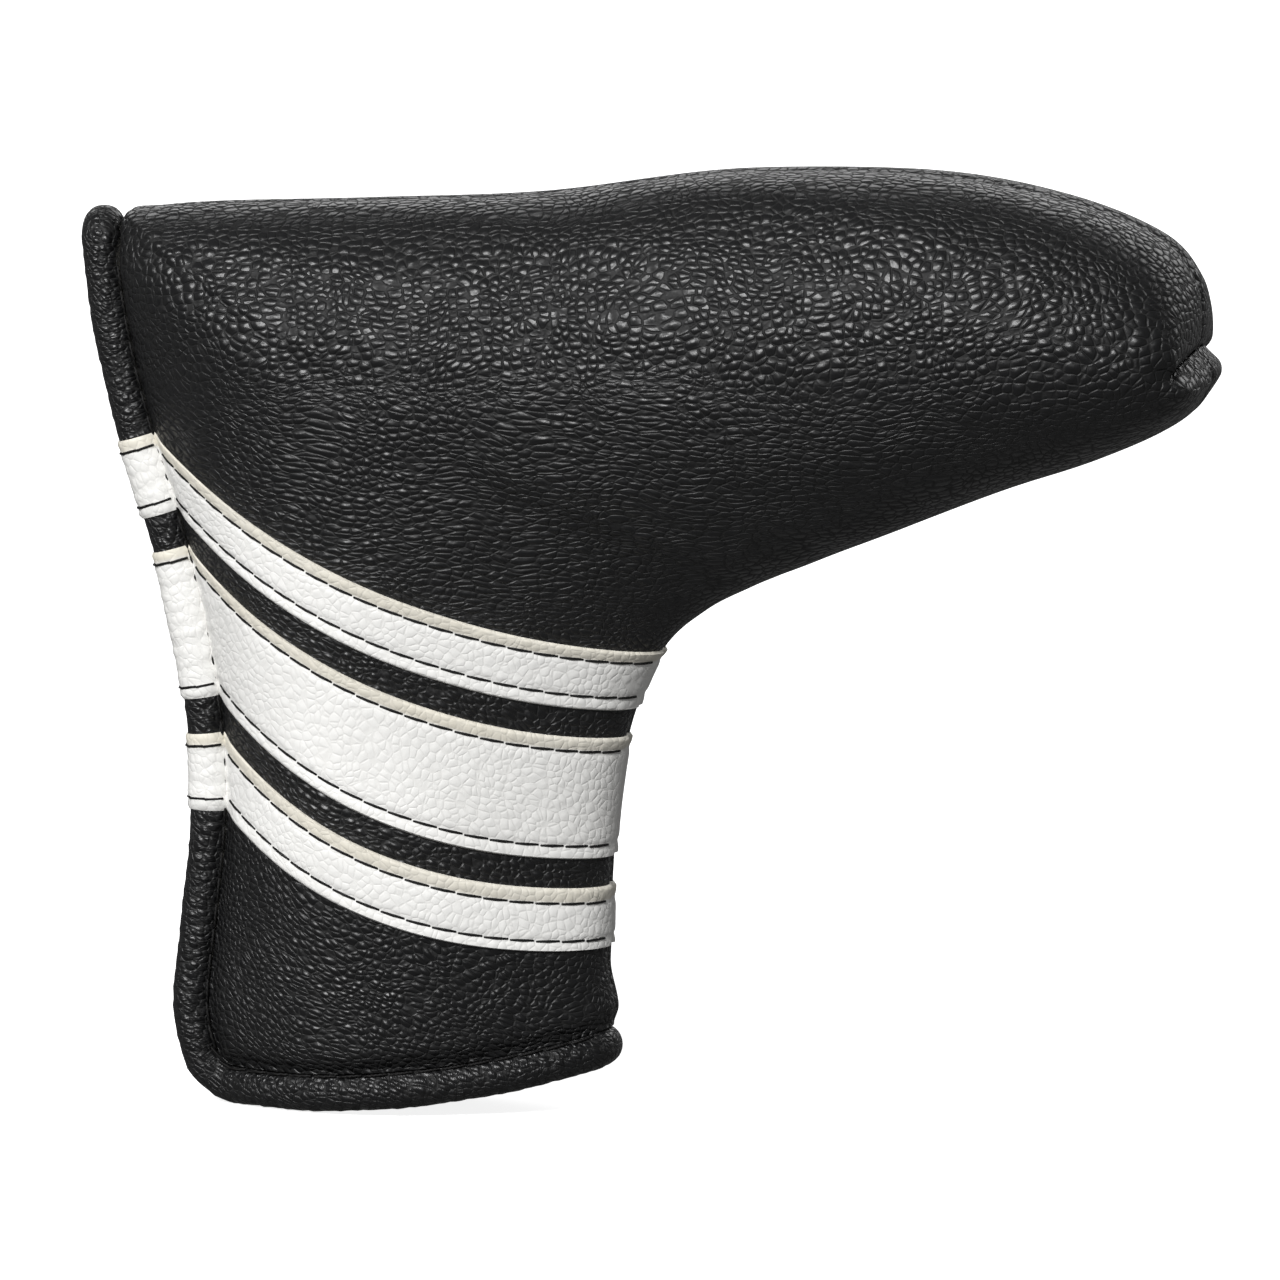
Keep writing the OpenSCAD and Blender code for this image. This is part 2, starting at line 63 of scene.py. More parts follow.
# Stations from the mouth, up the neck, over the heel and along the head to the toe:
# outer x and z, inner x and z, sag, half depth, lip, fullness at the outer and inner edge, crown, in mm
stations = np.array([
    [-24.6, 3.5, 31.6, 9.9, 2.1, 14.0, 5.2, 2.0, 0.9, 0.0],
    [-26.4, 11.8, 30.9, 13.9, 3.6, 14.624, 5.2, 2.0, 0.9, 0.0],
    [-25.0, 25.8, 30.0, 17.8, 4.6, 15.248, 5.2, 2.0, 0.9, 0.0],
    [-23.8, 39.3, 30.0, 21.3, 5.2, 15.664, 5.2, 2.0, 0.9, 0.0],
    [-24.4, 52.8, 30.3, 31.8, 5.4, 15.872, 5.2, 2.0, 0.9, 0.0],
    [-26.7, 66.3, 31.2, 42.5, 5.4, 16.288, 5.2, 2.0, 0.9, 0.0],
    [-29.9, 79.5, 33.2, 53.1, 5.4, 17.016, 5.2, 2.0, 0.9, 0.0],
    [-34.0, 92.5, 37.6, 63.1, 5.4, 18.16, 5.2, 2.0, 0.9, 0.0],
    [-37.2, 105.5, 44.0, 68.9, 4.4, 19.824, 5.2, 1.8, 0.9, 0.0],
    [-38.9, 117.3, 50.2, 72.2, 3.0, 21.176, 5.2, 1.4, 0.9, 0.0],
    [-38.6, 122.9, 54.0, 73.9, 2.2, 22.008, 0.0, 1.0, 0.9, 0.0],
    [-34.0, 123.9, 55.2, 74.4, 1.9, 22.32, 0.0, 0.98, 0.9, 0.0],
    [-24.0, 124.7, 57.5, 75.3, 1.4, 22.84, 0.0, 0.95, 0.9, 0.0],
    [-4.0, 125.5, 61.8, 77.1, 0.6, 23.36, 0.0, 0.9, 0.9, 0.0],
    [20.0, 126.9, 67.4, 79.3, 0.0, 23.984, 0.0, 0.85, 0.9, 0.0],
    [48.0, 130.5, 76.6, 83.1, 0.0, 24.4, 0.0, 0.8, 0.9, 0.0],
    [74.0, 130.7, 88.0, 87.5, 0.0, 24.01, 0.0, 0.75, 0.9, 0.3],
    [94.2, 127.6, 99.0, 91.4, 0.0, 22.606, 0.0, 0.7, 0.85, 0.6],
    [107.2, 122.8, 107.6, 95.2, 0.0, 20.812, 0.0, 0.74, 0.8, 1.0],
    [112.4, 117.2, 112.8, 98.8, 0.0, 19.018, 0.0, 0.78, 0.8, 1.3],
    [113.6, 111.8, 114.2, 102.8, 0.0, 17.614, 0.0, 0.82, 0.82, 1.5],
    [113.2, 106.9, 113.2, 106.9, 0.0, 16.6, 0.0, 0.84, 0.84, 1.6],
])
lastStation = len(stations) - 1
cover = {
    "leather": 1.2,  # thickness of each layer, and the gap between two
    "foam": 2.4,
    "lining": 1.2,
    "gap": 0.1,
    "seamGap": 0.002,
    "lipGap": 0.4,
    "toeStation": 18,
    "toeSlope": 1.2,
    "toeDroop": 1.3,  # how far the toe seam drops towards each side, as a share of its crown
    "arcStation": 9,
}
foamAt = cover["leather"] + cover["gap"]
liningAt = foamAt + cover["foam"] + cover["gap"]
wall = liningAt + cover["lining"]


def ramp(t):
    return np.clip(t, 0.0, 1.0)


def smooth(t):
    t = ramp(t)
    return t * t * (3 - 2 * t)


def unit(v):
    v = np.asarray(v, float)
    return v / np.maximum(np.linalg.norm(v, axis=-1, keepdims=True), 1e-9)


def stationAt(s):
    t = np.clip(np.asarray(s, float), 0, lastStation - 1e-6)
    i = np.floor(t).astype(int)
    f = (t - i)[..., None]
    a, b = stations[np.maximum(i - 1, 0)], stations[i]
    c, d = stations[i + 1], stations[np.minimum(i + 2, lastStation)]
    return 0.5 * (2 * b + (c - a) * f + (2 * a - 5 * b + 4 * c - d) * f**2 + (3 * b - a - 3 * c + d) * f**3)


def skin(s, v, depth=0.0):
    s, v, depth = np.broadcast_arrays(np.asarray(s, float), np.asarray(v, float), np.asarray(depth, float))
    r = stationAt(s)
    chordX, chordZ = r[..., 2] - r[..., 0], r[..., 3] - r[..., 1]
    span = np.hypot(chordX, chordZ)
    dirX, dirZ = chordX / np.maximum(span, 1e-6), chordZ / np.maximum(span, 1e-6)
    inset = np.minimum(depth, span / 2)
    topInset = inset * ramp(s - cover["arcStation"])
    u = (1 - np.cos(np.pi * v)) / 2
    run = topInset + (span - topInset - inset) * u
    bow = 4 * u * (1 - u) * r[..., 4]
    edge = np.maximum(r[..., 6] - depth - cover["seamGap"], 0)
    half = r[..., 5] - depth
    fullness = r[..., 7] + (r[..., 8] - r[..., 7]) * v * v * (3 - 2 * v)
    bulge = np.clip(np.sin(np.pi * v), 0, 1) ** fullness
    y = cover["seamGap"] + edge * (1 - u) + (half - cover["seamGap"] - edge / 2) * bulge
    crown = r[..., 9] * (y / half) ** 2
    tuck = depth * cover["toeSlope"] * ramp((s - cover["toeStation"] + 2) / 4) + crown
    return np.stack([
        r[..., 0] + dirX * run + dirZ * bow - tuck,
        -y,
        r[..., 1] + dirZ * run - dirX * bow - cover["toeDroop"] * crown,
    ], -1)


def reach(s):
    r = stationAt(s)
    return float(np.hypot(r[2] - r[0], r[3] - r[1]))


def toeEnd(depth):
    low, high = cover["toeStation"], lastStation
    for step in range(24):
        middle = (low + high) / 2
        low, high = (middle, high) if reach(middle) > 2 * depth else (low, middle)
    return low


# Distances over the skin, from the slit or top seam, from the front seam, from the mouth and from the toe
rulerCounts = (421, 161)
rulerS = np.linspace(0, lastStation, rulerCounts[0])
rulerV = np.linspace(0, 1, rulerCounts[1])
rulerGrid = skin(rulerS[:, None], rulerV[None, :])
acrossSteps = np.linalg.norm(np.diff(rulerGrid, axis=1), axis=2)
alongSteps = np.linalg.norm(np.diff(rulerGrid, axis=0), axis=2)
fromOuter = np.concatenate([np.zeros((len(rulerS), 1)), np.cumsum(acrossSteps, 1)], 1)
fromMouth = np.concatenate([np.zeros((1, len(rulerV))), np.cumsum(alongSteps, 0)], 0)
fromInner = fromOuter[:, -1:] - fromOuter
fromToe = fromMouth[-1:, :] - fromMouth


def onRuler(table, s, v):
    x = np.clip(np.asarray(s, float) / lastStation, 0, 1) * (len(rulerS) - 1)
    y = np.clip(np.asarray(v, float), 0, 1) * (len(rulerV) - 1)
    i, j = np.minimum(x.astype(int), len(rulerS) - 2), np.minimum(y.astype(int), len(rulerV) - 2)
    a, b = x - i, y - j
    return (table[i, j] * (1 - a) * (1 - b) + table[i + 1, j] * a * (1 - b)
            + table[i, j + 1] * (1 - a) * b + table[i + 1, j + 1] * a * b)


relief = {
    "grooveDepth": 1.25,  # how far the leather sinks beside the binding, mm
    "grooveWidth": 1.7,
    "seamDepth": 0.55,  # and at the seam down the front and over the top
    "seamWidth": 0.9,
    "toeDepth": 1.0,  # and at the seam across the toe
    "toeWidth": 1.1,
    "lipOut": 0.75,  # how far the lower lip stands out at the toe
    "lipAt": 2.8,
    "lipWidth": 2.4,
    "tuckDepth": 1.1,  # the dent beside the lip's corner
    "tuckAt": 2.5,
    "tuckWidth": 3.2,
    "pucker": 0.13,  # the pull of each stitch beside the groove
    "pitch": 3.6,
    "puckerWidth": 3,
    "swell": 0.088,  # slow unevenness of the padding
    "fade": 8,
    "slitEnd": 9.2,  # the station where the slit's edge turns into the top seam
    "slitFade": 0.6,
    "cornerAt": 0.5,  # the toe's corner, as a share of the way across
    "cornerWidth": 0.09,
    "cornerSoft": 0.6,
}
# The slow unevenness: turns per mm across and along, where each starts, and its share
swells = ((0.11, 0.07, 0.6, 1.0), (-0.09, 0.17, 2.1, 1.0), (0.23, -0.13, 4.2, 0.7))


def bell(distance, width):
    return np.exp(-(distance / width) ** 2)


def sink(s, v):
    s, v = np.broadcast_arrays(np.asarray(s, float), np.asarray(v, float))
    outer, inner = onRuler(fromOuter, s, v), onRuler(fromInner, s, v)
    mouth, toe = onRuler(fromMouth, s, v), onRuler(fromToe, s, v)
    look = relief
    slitPart = 1 - smooth((s - look["slitEnd"]) / look["slitFade"])
    groove = look["grooveDepth"] * bell(outer, look["grooveWidth"]) * slitPart
    rim = look["grooveDepth"] * bell(mouth, look["grooveWidth"])
    ridge = look["seamDepth"] * bell(outer, look["seamWidth"]) * (1 - slitPart)
    front = look["seamDepth"] * bell(inner, look["seamWidth"])
    lower = smooth((v - 0.42) / 0.16)
    corner = 1 - look["cornerSoft"] * bell(v - look["cornerAt"], look["cornerWidth"])
    toeCrease = look["toeDepth"] * bell(toe, look["toeWidth"]) * (1 - 0.35 * lower) * corner
    toeLip = look["lipOut"] * bell(toe - look["lipAt"], look["lipWidth"]) * smooth((v - 0.5) / 0.22)
    toeLip = toeLip - look["tuckDepth"] * bell(toe - look["tuckAt"], look["tuckWidth"]) * bell(v - 0.56, 0.1)
    turn = 2 * np.pi / look["pitch"]
    waves = np.cos(turn * mouth) * bell(outer, look["puckerWidth"]) * slitPart
    mouthWaves = np.cos(turn * outer) * bell(mouth, look["puckerWidth"])
    slow = sum(share * np.sin(a * outer + b * mouth + c) for a, b, c, share in swells)
    inside = ramp(outer / look["fade"]) * ramp(inner / look["fade"])
    inside = inside * ramp(mouth / look["fade"]) * ramp(toe / look["fade"])
    return (np.maximum(groove, rim) + np.maximum(ridge, front) + toeCrease - toeLip
            + look["pucker"] * (waves + mouthWaves) + look["swell"] * slow * inside)


def outward(s, v, depth=0.0):
    e = 0.01
    s, v = np.asarray(s, float), np.asarray(v, float)
    across = skin(s, np.clip(v + e, 0, 1), depth) - skin(s, np.clip(v - e, 0, 1), depth)
    along = skin(np.clip(s + e, 0, lastStation), v, depth) - skin(np.clip(s - e, 0, lastStation), v, depth)
    return unit(np.cross(across, along))


class Wire:
    def __init__(self, finish, socket):
        self.finish = finish
        self.socket = socket

    def sum(self, kind, other, swapped=False):
        pair = [other, self] if swapped else [self, other]
        return self.finish.node("ShaderNodeMath", {"operation": kind}, pair)

    def __add__(self, other):
        return self.sum("ADD", other)

    def __radd__(self, other):
        return self.sum("ADD", other, True)

    def __sub__(self, other):
        return self.sum("SUBTRACT", other)

    def __rsub__(self, other):
        return self.sum("SUBTRACT", other, True)

    def __mul__(self, other):
        return self.sum("MULTIPLY", other)

    def __rmul__(self, other):
        return self.sum("MULTIPLY", other, True)


class Finish:
    def __init__(self, name, constants=None):
        self.material = bpy.data.materials.new(name)
        self.material.use_nodes = True
        self.tree = self.material.node_tree
        self.shader = self.tree.nodes["Principled BSDF"]
        for socket, value in (constants or {}).items():
            self.shader.inputs[socket].default_value = value
        self.place = self.node("ShaderNodeTexCoord", {}, {}, "Object")

    def node(self, kind, settings, inputs, output=0):
        made = self.tree.nodes.new(kind)
        for key, value in settings.items():
            setattr(made, key, value)
        items = inputs.items() if isinstance(inputs, dict) else enumerate(inputs)
        for key, value in items:
            if isinstance(value, Wire):
                self.tree.links.new(value.socket, made.inputs[key])
            else:
                made.inputs[key].default_value = value
        return Wire(self, made.outputs[output])

    def scaled(self, x, y, z):
        return self.node("ShaderNodeMapping", {}, {"Vector": self.place, "Scale": (x, y, z)})

    def turned(self, degrees, scale):
        flat = self.node("ShaderNodeMapping", {}, {
            "Vector": self.place, "Rotation": (0, -math.radians(degrees), 0),
        })
        return self.node("ShaderNodeMapping", {}, {"Vector": flat, "Scale": scale})

    def noise(self, vector, scale, detail=3.0, rough=0.55, output="Fac"):
        return self.node("ShaderNodeTexNoise", {}, {
            "Vector": vector, "Scale": scale, "Detail": detail, "Roughness": rough,
        }, output)

    def between(self, value, low, high, toLow=0.0, toHigh=1.0):
        return self.node("ShaderNodeMapRange", {"interpolation_type": "SMOOTHSTEP"}, {
            "Value": value, "From Min": low, "From Max": high, "To Min": toLow, "To Max": toHigh,
        })

    def mixColour(self, factor, first, second):
        return self.node("ShaderNodeMix", {"data_type": "RGBA"}, {0: factor, 6: first, 7: second}, 2)

    def moved(self, vector, shift, amount):
        middle = (0.5, 0.5, 0.5)
        centred = self.node("ShaderNodeVectorMath", {"operation": "SUBTRACT"}, {0: shift, 1: middle})
        grown = self.node("ShaderNodeVectorMath", {"operation": "SCALE"}, {0: centred, "Scale": amount})
        return self.node("ShaderNodeVectorMath", {"operation": "ADD"}, {0: vector, 1: grown})

    def bump(self, height, strength, distance, under=None):
        inputs = {"Strength": strength, "Distance": distance, "Height": height}
        if under is not None:
            inputs["Normal"] = under
        return self.node("ShaderNodeBump", {}, inputs)

    def feed(self, sockets):
        for socket, value in sockets.items():
            if isinstance(value, Wire):
                self.tree.links.new(value.socket, self.shader.inputs[socket])
            else:
                self.shader.inputs[socket].default_value = value


# The crevices colour is painted shade: a darker black painted into the grain's crevices. The tops colour is
# the leather's own.
blackLook = {
    "tops": (0.0042, 0.0043, 0.0048, 1),
    "crevices": (0.0012, 0.0012, 0.0014, 1),
    "roughTop": 0.34,
    "roughCrevice": 0.68,
    "bumpDepth": 0.00036,
    "ridgesFrom": (0.078, 0.088),  # the heights where the grain changes, in metres
    "pebblesFrom": (0.108, 0.118),
}
# Pebbles lie on the head, ridges under it, the fine grain on the neck and the soft one on white leather
grains = {
    "pebbles": {"size": 0.00122, "stretch": (0.8, 0.9, 1.04), "turn": -8, "randomness": 0.75},
    "ridges": {"size": 0.00098, "stretch": (0.5, 0.8, 1.15), "turn": 5, "randomness": 0.85},
    "fine": {"size": 0.00086, "stretch": (0.6, 0.85, 1.05), "turn": 24, "randomness": 0.85},
    "soft": {"size": 0.00105, "stretch": (0.8, 0.9, 0.95), "turn": 60, "randomness": 0.9},
}


# The height of a leather grain, and its crevices: 0 in a crevice and 1 on a pebble
def grainOf(finish, kind, wander=1.0):
    grain = grains[kind]
    size = grain["size"]
    waves = finish.noise(finish.place, 55.0, 2.0, 0.5, "Color")
    fine = finish.noise(finish.place, 620.0, 2.0, 0.5, "Color")
    base = finish.moved(finish.turned(grain["turn"], grain["stretch"]), waves, 0.006 * wander)
    bent = finish.moved(base, fine, size * 0.3)
    cells = {"Vector": bent, "Scale": 1 / size, "Randomness": grain["randomness"]}
    edge = finish.node("ShaderNodeTexVoronoi", {"feature": "DISTANCE_TO_EDGE"}, cells, "Distance")
    near = finish.node("ShaderNodeTexVoronoi", {"feature": "F1"}, cells, "Distance")
    crevice = finish.between(edge, 0.0, 0.16)
    dome = finish.between(near, 0.75, 0.0)
    return crevice * 0.35 + dome * 0.75, crevice


def mixed(mask, first, second):
    return first * (1 - mask) + second * mask


def makeBlackLeather(name, onPanels):
    look = blackLook
    finish = Finish(name, {"IOR": 1.5, "Specular IOR Level": 0.5})
    patches = finish.noise(finish.place, 38.0, 3.0, 0.5)
    grainHeight, crevice = grainOf(finish, "fine")
    if onPanels:
        level = finish.node("ShaderNodeSeparateXYZ", {}, {"Vector": finish.place}, "Z") + patches * 0.024
        for kind in ("ridges", "pebbles"):
            nextHeight, nextCrevice = grainOf(finish, kind)
            mask = finish.between(level, *look[kind + "From"])
            grainHeight, crevice = mixed(mask, grainHeight, nextHeight), mixed(mask, crevice, nextCrevice)
    fineGrain = finish.noise(finish.place, 3800.0, 4.0, 0.6)
    # Painted shade: the colour darkens in the grain's crevices, more strongly in some patches than in
    # others.
    creviceShadeMix = crevice * (patches * 0.5 + 0.75)
    colour = finish.mixColour(creviceShadeMix * 0.9, look["crevices"], look["tops"])
    height = grainHeight + fineGrain * 0.08 + patches * 0.2
    if not onPanels:
        wrap = finish.node("ShaderNodeAttribute", {"attribute_name": "wrap"}, {}, "Vector")
        creases = finish.noise(wrap, 0.9, 3.0, 0.6)
        height = height * 0.8 + creases * 2.0
    rough = look["roughCrevice"] - crevice * (look["roughCrevice"] - look["roughTop"]) + fineGrain * 0.08
    finish.feed({"Base Color": colour, "Roughness": rough})
    finish.feed({"Normal": finish.bump(height, 0.8, look["bumpDepth"])})
    return finish.material


whiteLook = {
    "body": (0.8, 0.795, 0.775, 1),
    "cool": (0.74, 0.735, 0.715, 1),
    "cream": (0.68, 0.645, 0.555, 1),
    # The crevices colour is painted shade: a darker colour painted into the grain's crevices.
    "crevices": (0.58, 0.565, 0.53, 1),
    "bumpDepth": 0.0003,
}


def makeWhiteLeather():
    look = whiteLook
    finish = Finish("whiteLeather", {"IOR": 1.5, "Specular IOR Level": 0.4})
    grainHeight, crevice = grainOf(finish, "soft", 0.8)
    fineGrain = finish.noise(finish.place, 4200.0, 4.0, 0.6)
    patches = finish.noise(finish.place, 60.0, 3.0, 0.5)
    margin = finish.node("ShaderNodeAttribute", {"attribute_name": "margin"}, {}, "Fac")
    body = finish.mixColour(finish.between(patches, 0.35, 0.75), look["body"], look["cool"])
    # The upper margin, above the upper row of stitches, is tinted cream, more in some patches than in
    # others.
    creamUpperMargin = finish.mixColour(margin * (patches * 0.6 + 0.6), body, look["cream"])
    # Painted shade: the colour is a little darker in the grain's crevices.
    colour = finish.mixColour(crevice * 0.14 + 0.86, look["crevices"], creamUpperMargin)
    height = grainHeight * 0.7 + fineGrain * 0.1 + patches * 0.4
    finish.feed({"Base Color": colour, "Roughness": 0.46 + fineGrain * 0.12})
    finish.feed({"Normal": finish.bump(height, 0.42, look["bumpDepth"])})
    return finish.material


threadLook = {"dark": (0.003, 0.003, 0.0035, 1), "light": (0.012, 0.0115, 0.011, 1), "turns": 900.0}


def makeThread():
    look = threadLook
    finish = Finish("blackThread", {"Specular IOR Level": 0.2})
    twist = finish.node("ShaderNodeTexWave", {"bands_direction": "DIAGONAL"}, {
        "Vector": finish.place, "Scale": look["turns"], "Distortion": 1.5,
    }, "Fac")
    colour = finish.mixColour(twist, look["dark"], look["light"])
    finish.feed({"Base Color": colour, "Roughness": 0.55 + twist * 0.2})
    finish.feed({"Normal": finish.bump(twist, 0.6, 0.00008)})
    return finish.material


fleeceLook = {"dark": (0.15, 0.15, 0.165, 1), "light": (0.42, 0.42, 0.45, 1), "pile": 1500.0, "tufts": 420.0}


def makeFleece():
    look = fleeceLook
    finish = Finish("fleece", {"Sheen Weight": 0.5, "Sheen Roughness": 0.6})
    pile = finish.noise(finish.place, look["pile"], 5.0, 0.7)
    tufts = finish.noise(finish.place, look["tufts"], 3.0, 0.6)
    colour = finish.mixColour(pile * 0.6 + tufts * 0.4, look["dark"], look["light"])
    finish.feed({"Base Color": colour, "Roughness": 0.85 + pile * 0.1})
    finish.feed({"Normal": finish.bump(pile * 0.6 + tufts, 0.9, 0.0005)})
    return finish.material


foamLook = {"light": (0.8, 0.78, 0.72, 1), "dark": (0.6, 0.57, 0.48, 1), "cells": 1900.0, "patches": 90.0}


def makeFoam():
    look = foamLook
    finish = Finish("foam")
    cells = finish.node("ShaderNodeTexVoronoi", {"feature": "F1"}, {
        "Vector": finish.place, "Scale": look["cells"],
    }, "Distance")
    patches = finish.noise(finish.place, look["patches"])
    colour = finish.mixColour(cells * 0.6 + patches * 0.3, look["light"], look["dark"])
    finish.feed({"Base Color": colour, "Roughness": 0.8 + cells * 0.1})
    finish.feed({"Normal": finish.bump(cells, 0.5, 0.0002)})
    return finish.material


cottonLook = {"dark": (0.62, 0.58, 0.5, 1), "light": (0.84, 0.81, 0.74, 1), "strands": 420.0}


def makeCotton():
    look = cottonLook
    finish = Finish("cottonCord")
    strands = finish.node("ShaderNodeTexWave", {"bands_direction": "DIAGONAL"}, {
        "Vector": finish.place, "Scale": look["strands"], "Distortion": 2.0,
    }, "Fac")
    colour = finish.mixColour(strands, look["dark"], look["light"])
    finish.feed({"Base Color": colour, "Roughness": 0.85 + strands * 0.05})
    finish.feed({"Normal": finish.bump(strands, 0.6, 0.0003)})
    return finish.material


tapeLook = {"dark": (0.04, 0.04, 0.05, 1), "light": (0.13, 0.13, 0.16, 1), "yarns": 700.0}


def makeTape():
    look = tapeLook
    finish = Finish("wovenTape")
    ribs, cross = (finish.node("ShaderNodeTexWave", {"bands_direction": direction}, {
        "Vector": finish.place, "Scale": look["yarns"], "Distortion": 0.4,
    }, "Fac") for direction in ("Z", "X"))
    weave = ribs * 0.5 + cross * 0.5
    colour = finish.mixColour(weave, look["dark"], look["light"])
    finish.feed({"Base Color": colour, "Roughness": 0.7 + weave * 0.1})
    finish.feed({"Normal": finish.bump(weave, 0.5, 0.0001)})
    return finish.material


nickelLook = {
    "dark": (0.66, 0.67, 0.69, 1),
    "light": (0.8, 0.8, 0.8, 1),
    "scratches": 900.0,
    "patches": 160.0,
}


def makeMagnetMetal():
    look = nickelLook
    finish = Finish("nickelPlate", {"Metallic": 1.0})
    scratches = finish.noise(finish.scaled(1, 1, 14), look["scratches"], 4.0, 0.6)
    patches = finish.noise(finish.place, look["patches"])
    colour = finish.mixColour(patches, look["dark"], look["light"])
    finish.feed({"Base Color": colour, "Roughness": 0.22 + scratches * 0.2})
    finish.feed({"Normal": finish.bump(scratches, 0.15, 0.00005)})
    return finish.material


blackLeather = makeBlackLeather("blackLeather", True)
bindingLeather = makeBlackLeather("blackBindingLeather", False)
whiteLeather = makeWhiteLeather()
blackThread = makeThread()
fleece = makeFleece()
foam = makeFoam()
cotton = makeCotton()
wovenTape = makeTape()
nickelPlate = makeMagnetMetal()
print("finishes made")


bodyOf = {"near": "near_flap", "far": "far_flap"}


def deselectAll():
    if bpy.context.object and bpy.context.object.mode != "OBJECT":
        bpy.ops.object.mode_set(mode="OBJECT")
    bpy.ops.object.select_all(action="DESELECT")


def only(piece):
    deselectAll()
    piece.select_set(True)
    bpy.context.view_layer.objects.active = piece


def inEditMode(piece, operators):
    only(piece)
    bpy.ops.object.mode_set(mode="EDIT")
    operators()
    bpy.ops.object.mode_set(mode="OBJECT")


def foldWithFlap(piece):
    bpy.context.view_layer.update()
    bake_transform(piece)


def finishPiece(piece, material, nodes, body=None):
    piece.data.materials.clear()
    piece.data.materials.append(material)
    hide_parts(*nodes)
    if body:
        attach(piece, body)
    else:
        foldWithFlap(piece)
    print("made", piece.name)
    return piece


# A layer with an outer and an inner face. u runs across the grid and w along it.
def layer(name, columns, rows, outer, inner, side="near", wrap=False, foldEnd=False, flip=False):
    deselectAll()
    bpy.ops.mesh.primitive_grid_add(x_subdivisions=columns, y_subdivisions=rows, size=1)
    piece = bpy.context.object
    piece.name = name
    piece.data.name = name
    thick = piece.modifiers.new("wall", "SOLIDIFY")
    thick.thickness = 0.01
    thick.offset = -1
    bpy.ops.object.modifier_apply(modifier="wall")
    count = len(piece.data.vertices)
    flat = np.empty(count * 3)
    piece.data.vertices.foreach_get("co", flat)
    flat = flat.reshape(-1, 3)
    u = np.clip(flat[:, 0] + 0.5, 0, 1)
    w = np.clip(flat[:, 1] + 0.5, 0, 1)
    under = flat[:, 2] < -0.005
    spot = np.where(under[:, None], inner(u, w), outer(u, w))
    if side == "far":
        spot = spot * np.array([1, -1, 1])
    piece.data.vertices.foreach_set("co", (spot * mm).ravel())
    piece.data.update()
    if wrap or foldEnd:
        closeRims(piece, u, w, under, wrap, foldEnd)
    if (side == "far") != flip:
        inEditMode(piece, flipAll)
    only(piece)
    bpy.ops.object.shade_smooth_by_angle(angle=math.radians(50))
    return piece


def flipAll():
    bpy.ops.mesh.select_all(action="SELECT")
    bpy.ops.mesh.flip_normals()


def closeRims(piece, u, w, under, wrap, foldEnd):
    only(piece)
    bpy.ops.object.mode_set(mode="EDIT")
    bpy.ops.mesh.select_mode(type="FACE")
    bpy.ops.mesh.select_all(action="DESELECT")
    bpy.ops.object.mode_set(mode="OBJECT")
    for face in piece.data.polygons:
        corners = list(face.vertices)
        if under[corners].all() or not under[corners].any():
            continue
        onSide = wrap and (u[corners].max() < 1e-4 or u[corners].min() > 1 - 1e-4)
        onEnd = foldEnd and w[corners].min() > 1 - 1e-4
        face.select = bool(onSide or onEnd)
    bpy.ops.object.mode_set(mode="EDIT")
    bpy.ops.mesh.delete(type="ONLY_FACE")
    bpy.ops.mesh.select_mode(type="VERT")
    bpy.ops.mesh.select_all(action="SELECT")
    bpy.ops.mesh.remove_doubles(threshold=0.000002)
    bpy.ops.object.mode_set(mode="OBJECT")


panel = {"rows": 330, "columns": 92, "hiddenRows": 130, "hiddenColumns": 40}


def panelFace(depth, worked):
    end = toeEnd(max(depth, 0)) if depth > 0.01 else lastStation

    def place(u, w):
        s = w * end
        return skin(s, u, depth + (sink(s, u) if worked else 0.0))

    return place


def makeLeather(side):
    name = side + "_leather_panel"
    piece = layer(name, panel["columns"], panel["rows"], panelFace(0.0, True),
                  panelFace(cover["leather"], False), side, foldEnd=True)
    nodes = [side + "_leather", side + "_flap_leather"]
    return finishPiece(piece, blackLeather, nodes)


def makePadding(side):
    piece = layer(side + "_foam_padding", panel["hiddenColumns"], panel["hiddenRows"],
                  panelFace(foamAt, False), panelFace(foamAt + cover["foam"], False), side, foldEnd=True)
    finishPiece(piece, foam, [side + "_padding", side + "_flap_padding"])
    return piece


def makeLining(side):
    piece = layer(side + "_fleece_lining", panel["hiddenColumns"], panel["hiddenRows"],
                  panelFace(liningAt, False), panelFace(wall, False), side, foldEnd=True)
    finishPiece(piece, fleece, [side + "_lining", side + "_flap_lining"])
    return piece


stripeLook = {
    "proud": 0.55,  # top of the white leather above the black
    "thick": 0.55,
    "round": 0.35,
    "rows": 34,
    "columns": 120,
    "under": 0.3,  # how far it goes into the black leather
    "narrow": 9.1,
    "wide": 17.4,
    "space": 4.2,
    "stationLength": 11.0,
}
stripeEdges = {}
edgeAt = 3.0
for stripeName, stripeWidth in (("lower", "narrow"), ("middle", "wide"), ("upper", "narrow")):
    nextEdge = edgeAt + stripeLook[stripeWidth] / stripeLook["stationLength"]
    stripeEdges[stripeName] = (edgeAt, nextEdge)
    edgeAt = nextEdge + stripeLook["space"] / stripeLook["stationLength"]

stitch = {
    "length": 3.3,
    "thick": 0.38,
    "pitch": 3.6,
    "inset": 1.9,
    "tilt": 2.0,  # each stitch leans a little across its row, in degrees
    "dip": 0.2,  # how far a row pulls the leather in
    "dipWidth": 0.6,
    "bite": 0.1,  # how far a stitch's ends go down
    "sunk": 0.12,
    "slitMargin": 0.8,  # what a row leaves bare at the slit and at the front seam
    "frontMargin": 3.2,
}


def stripeDip(s, edges):
    rows = [edges[0] + stitch["inset"] / stripeLook["stationLength"],
            edges[1] - stitch["inset"] / stripeLook["stationLength"]]
    dip = 0.0
    for row in rows:
        dip = dip + stitch["dip"] * bell((s - row) * stripeLook["stationLength"], stitch["dipWidth"])
    return dip


